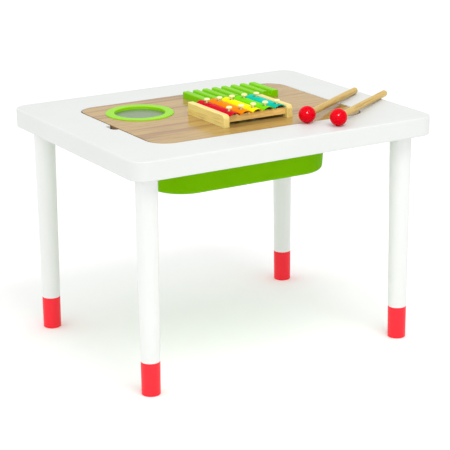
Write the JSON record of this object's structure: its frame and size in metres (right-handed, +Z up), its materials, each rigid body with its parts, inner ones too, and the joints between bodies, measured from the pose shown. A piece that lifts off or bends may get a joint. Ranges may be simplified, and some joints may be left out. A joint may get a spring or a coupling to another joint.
{
  "type": "musical activity table",
  "caption": "Low play table with round legs, a storage tub in its top, a lift-out board with drum, ribbed scraper and small xylophone, and ball-ended mallets.",
  "frame": {"origin": "on the floor, under the centre of the table's rectangular top", "axes": "+X along the long side to the right, +Y to the back, +Z up"},
  "size_m": [0.6554, 0.508, 0.4769],
  "materials": {
    "top_paint": "white satin paint on board",
    "leg_paint": "white satin paint on turned wood",
    "foot_paint": "red satin paint on turned wood",
    "zinc_steel": "zinc plated",
    "tub_green": "moulded, satin",
    "board_wood": "natural grain, satin lacquer",
    "ring_green": "moulded, satin",
    "drum_skin": "frosted translucent sheet",
    "hoop_green": "moulded, satin",
    "scraper_green": "moulded, satin",
    "cheek_pine": "sanded pine",
    "rail_pine": "sanded pine",
    "felt": "dark pressed felt",
    "dowel_wood": "raw beech",
    "pin_cream": "moulded, satin",
    "bar_red": "gloss lacquer",
    "bar_orange": "gloss lacquer",
    "bar_yellow": "gloss lacquer",
    "bar_green": "gloss lacquer",
    "bar_teal": "gloss lacquer",
    "ball_red": "gloss lacquer on a turned ball",
    "handle_wood": "sanded dowel"
  },
  "bodies": {
    "table": {"table_top": "top_paint", "leg_front_left": "leg_paint", "foot_front_left": "foot_paint", "leg_front_right": "leg_paint", "foot_front_right": "foot_paint", "leg_back_left": "leg_paint", "foot_back_left": "foot_paint", "leg_back_right": "leg_paint", "foot_back_right": "foot_paint", "leg_bolts": "zinc_steel", "insert_nuts": "zinc_steel"},
    "tub": {"tub": "tub_green"},
    "music_board": {"music_board": "board_wood", "board_screws": "zinc_steel", "drum_ring": "ring_green", "drum_head": "drum_skin", "drum_hoop": "hoop_green", "scraper": "scraper_green", "xylophone_left_cheek": "cheek_pine", "xylophone_right_cheek": "cheek_pine", "xylophone_front_rail": "rail_pine", "xylophone_back_rail": "rail_pine", "front_felt_strip": "felt", "back_felt_strip": "felt", "rail_dowels": "dowel_wood", "xylophone_pins": "pin_cream"},
    "bar_red": {"bar_red": "bar_red"},
    "bar_orange": {"bar_orange": "bar_orange"},
    "bar_yellow": {"bar_yellow": "bar_yellow"},
    "bar_green": {"bar_green": "bar_green"},
    "bar_teal": {"bar_teal": "bar_teal"},
    "mallet_1": {"mallet_1_head": "ball_red", "mallet_1_handle": "handle_wood"},
    "mallet_2": {"mallet_2_head": "ball_red", "mallet_2_handle": "handle_wood"}
  },
  "joints": [
    {"name": "tub_lift", "type": "slide", "parent": "table", "child": "tub", "axis": [0, 0, 1], "range_m": [0, 0.12]},
    {"name": "board_lift", "type": "slide", "parent": "tub", "child": "music_board", "axis": [0, 0, 1], "range_m": [0, 0.08]},
    {"name": "bar_red_play", "type": "slide", "parent": "music_board", "child": "bar_red", "axis": [0, 0, 1], "range_m": [0, 0.0045]},
    {"name": "bar_orange_play", "type": "slide", "parent": "music_board", "child": "bar_orange", "axis": [0, 0, 1], "range_m": [0, 0.0045]},
    {"name": "bar_yellow_play", "type": "slide", "parent": "music_board", "child": "bar_yellow", "axis": [0, 0, 1], "range_m": [0, 0.0045]},
    {"name": "bar_green_play", "type": "slide", "parent": "music_board", "child": "bar_green", "axis": [0, 0, 1], "range_m": [0, 0.0045]},
    {"name": "bar_teal_play", "type": "slide", "parent": "music_board", "child": "bar_teal", "axis": [0, 0, 1], "range_m": [0, 0.0045]},
    {"name": "mallet_1_lift", "type": "slide", "parent": "music_board", "child": "mallet_1", "axis": [0, 0, 1], "range_m": [0, 0.1]},
    {"name": "mallet_2_lift", "type": "slide", "parent": "music_board", "child": "mallet_2", "axis": [0, 0, 1], "range_m": [0, 0.1]}
  ]
}
